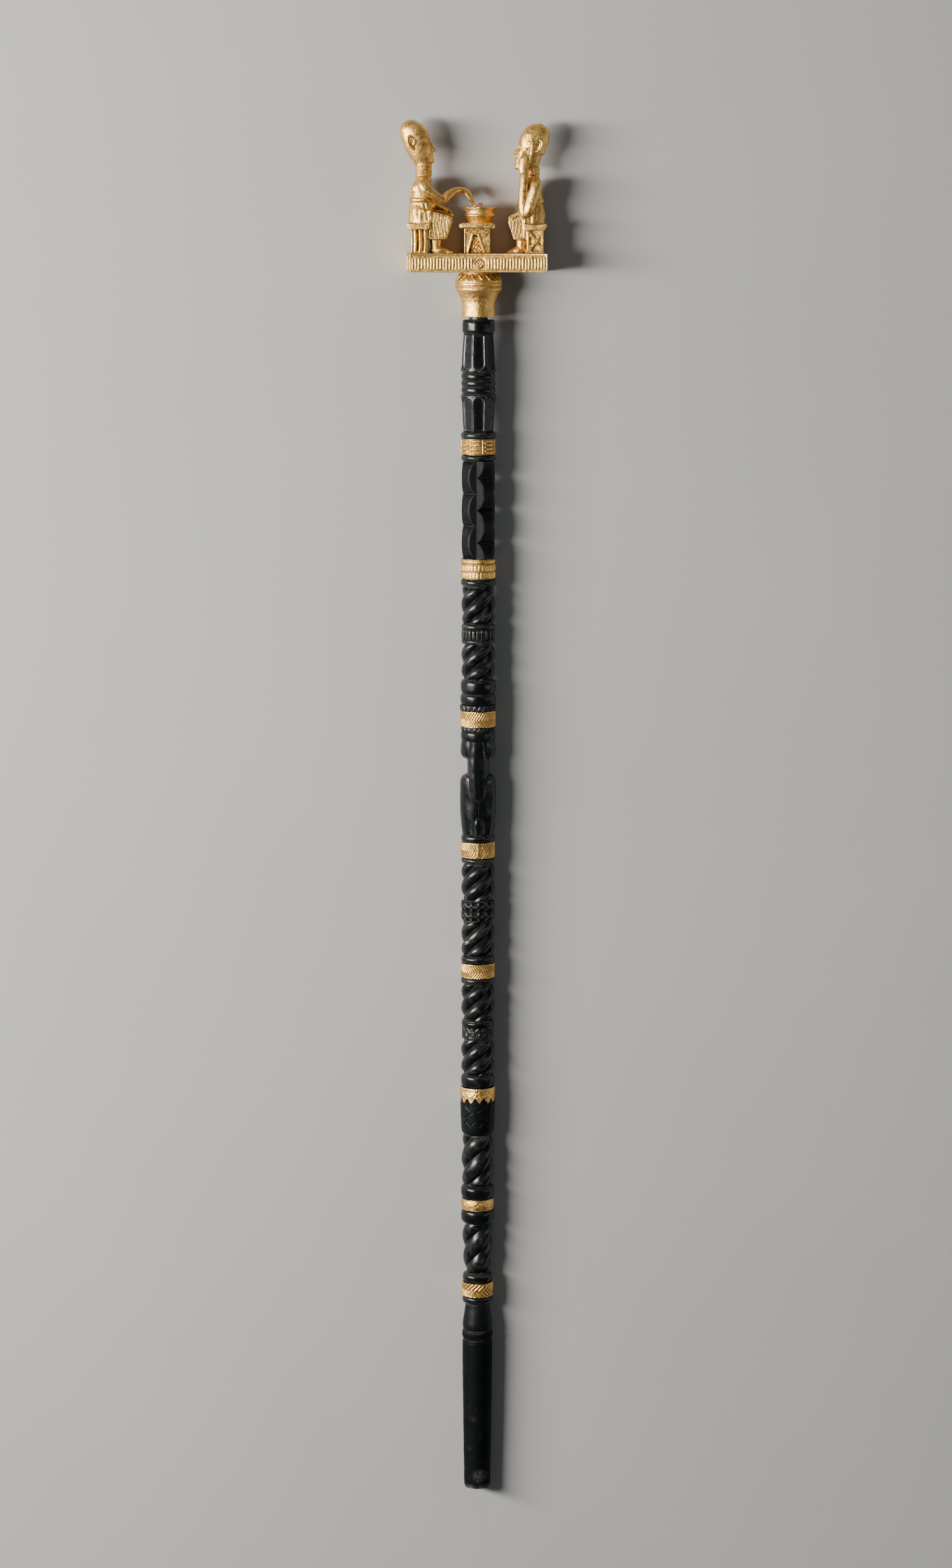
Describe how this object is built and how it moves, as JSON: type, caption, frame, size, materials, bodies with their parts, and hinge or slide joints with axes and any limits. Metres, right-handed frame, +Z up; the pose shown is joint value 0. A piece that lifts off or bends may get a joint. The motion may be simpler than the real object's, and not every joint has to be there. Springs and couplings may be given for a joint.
{
  "type": "ceremonial staff",
  "caption": "Black carved wooden ceremonial staff with twisted and ringed shaft, gold foil bands and a gilded finial of seated men sharing a meal at a table.",
  "frame": {"origin": "on the surface under the middle of the lying staff, the bottom centre of its bounding box", "axes": "+Y along the staff from the foot to the finial, +Z up with the staff's front face up, +X to the right of the front face with the finial away from the viewer"},
  "size_m": [0.1632, 1.5664, 0.0585],
  "materials": {
    "black_wood": "satin, ebonised, worn brown on the edges",
    "gilded_wood": "crinkled gold foil over carved wood",
    "gold_foil": "crinkled thin foil, tooled"
  },
  "bodies": {
    "root": {"finial": "gilded_wood", "shaft_upper": "black_wood", "shaft_lower": "black_wood", "foil_band_1": "gold_foil", "foil_band_2": "gold_foil", "foil_band_3": "gold_foil", "foil_band_4": "gold_foil", "foil_band_5": "gold_foil", "foil_band_6": "gold_foil", "foil_band_7": "gold_foil", "foil_band_8": "gold_foil"}
  },
  "joints": []
}
